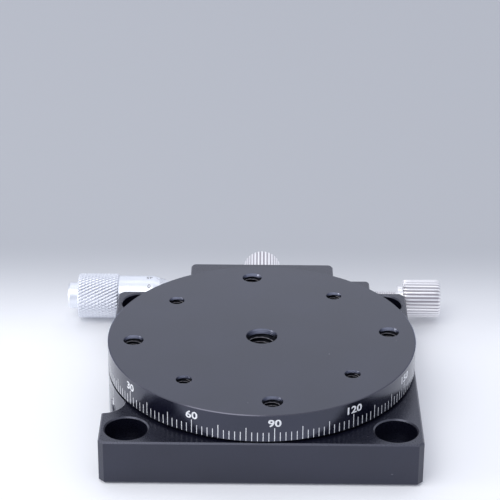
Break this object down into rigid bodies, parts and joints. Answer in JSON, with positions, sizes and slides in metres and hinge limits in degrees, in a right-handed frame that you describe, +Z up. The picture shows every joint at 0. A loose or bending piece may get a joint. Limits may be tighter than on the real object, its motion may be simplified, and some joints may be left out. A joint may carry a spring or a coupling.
{
  "type": "rotation stage",
  "caption": "Square-based manual rotation stage with an engraved turntable, tangent-arm fine adjustment by a micrometer head, a locking thumb screw and a coarse clamp.",
  "frame": {"origin": "where the turning axis meets the underside of the base", "axes": "+Z up along the turning axis, +Y towards the tangent arm, +X towards the locking thumb screw, away from the micrometer"},
  "size_m": [0.079, 0.0774, 0.015],
  "materials": {
    "black_anodised": "black anodised, satin",
    "dial_anodised": "black anodised, turned side, engraved white",
    "satin_chrome": "satin chrome plated",
    "nickel_knurl": "bright nickel plated steel, knurled",
    "black_steel": "black oxide",
    "bearing_steel": "ground",
    "spring_steel": "oiled",
    "hard_steel": "hardened and ground",
    "brass": "turned",
    "bronze": "lapped"
  },
  "bodies": {
    "base": {"base_plate": "black_anodised", "vernier_plate": "dial_anodised", "vernier_screws": "black_steel", "bearing_inner_ring": "bearing_steel", "bearing_clamp_plate": "hard_steel", "bearing_clamp_screws": "black_steel", "lower_washer": "bronze", "micrometer_holder": "black_anodised", "holder_screws": "black_steel", "micrometer_sleeve": "satin_chrome", "stem_set_screw": "black_steel", "lock_bracket": "black_anodised", "bracket_screws": "black_steel"},
    "arm": {"tangent_arm": "black_anodised", "strike_pins": "hard_steel", "upper_washer": "bronze"},
    "turntable": {"top_disc": "dial_anodised", "bearing_outer_ring": "bearing_steel", "bearing_rollers": "bearing_steel", "hub_circlip": "spring_steel"},
    "clamp_shoe": {"clamp_shoe": "brass"},
    "clamp_screw": {"clamp_screw": "nickel_knurl"},
    "spindle": {"micrometer_spindle": "hard_steel"},
    "thimble": {"micrometer_thimble": "satin_chrome", "micrometer_end_cap": "satin_chrome"},
    "lock_tip": {"lock_tip": "brass"},
    "lock_screw": {"lock_screw": "nickel_knurl"}
  },
  "joints": [
    {"name": "fine_turn", "type": "hinge", "parent": "base", "child": "arm", "pos_m": [0, 0, 0], "axis": [0, 0, 1], "range_deg": [-5, 5]},
    {"name": "coarse_turn", "type": "hinge", "parent": "arm", "child": "turntable", "pos_m": [0, 0, 0], "axis": [0, 0, 1], "continuous": true},
    {"name": "spindle_travel", "type": "slide", "parent": "base", "child": "spindle", "axis": [1, 0, 0], "range_m": [-0.00309, 0.00309]},
    {"name": "micrometer_turn", "type": "hinge", "parent": "spindle", "child": "thimble", "pos_m": [0, 0.0355, 0.005], "axis": [1, 0, 0], "range_deg": [-2225, 2225]},
    {"name": "lock_travel", "type": "slide", "parent": "base", "child": "lock_tip", "axis": [1, 0, 0], "range_m": [-0.0031, 0.0031]},
    {"name": "lock_turn", "type": "hinge", "parent": "lock_tip", "child": "lock_screw", "pos_m": [0, 0.0355, 0.005], "axis": [1, 0, 0], "range_deg": [-2225, 2225]},
    {"name": "clamp_press", "type": "slide", "parent": "arm", "child": "clamp_shoe", "axis": [0, -1, 0], "range_m": [0, 0.00025]},
    {"name": "clamp_turn", "type": "hinge", "parent": "clamp_shoe", "child": "clamp_screw", "pos_m": [0, 0.0385, 0.00625], "axis": [0, -1, 0], "range_deg": [0, 180]}
  ],
  "couplings": [
    {"joint": "fine_turn", "follows": "spindle_travel", "rad_per_m": -28.169},
    {"joint": "micrometer_turn", "follows": "spindle_travel", "rad_per_m": 12566},
    {"joint": "lock_travel", "follows": "spindle_travel", "ratio": 1},
    {"joint": "lock_turn", "follows": "spindle_travel", "rad_per_m": 12566},
    {"joint": "clamp_turn", "follows": "clamp_press", "rad_per_m": 12566}
  ]
}
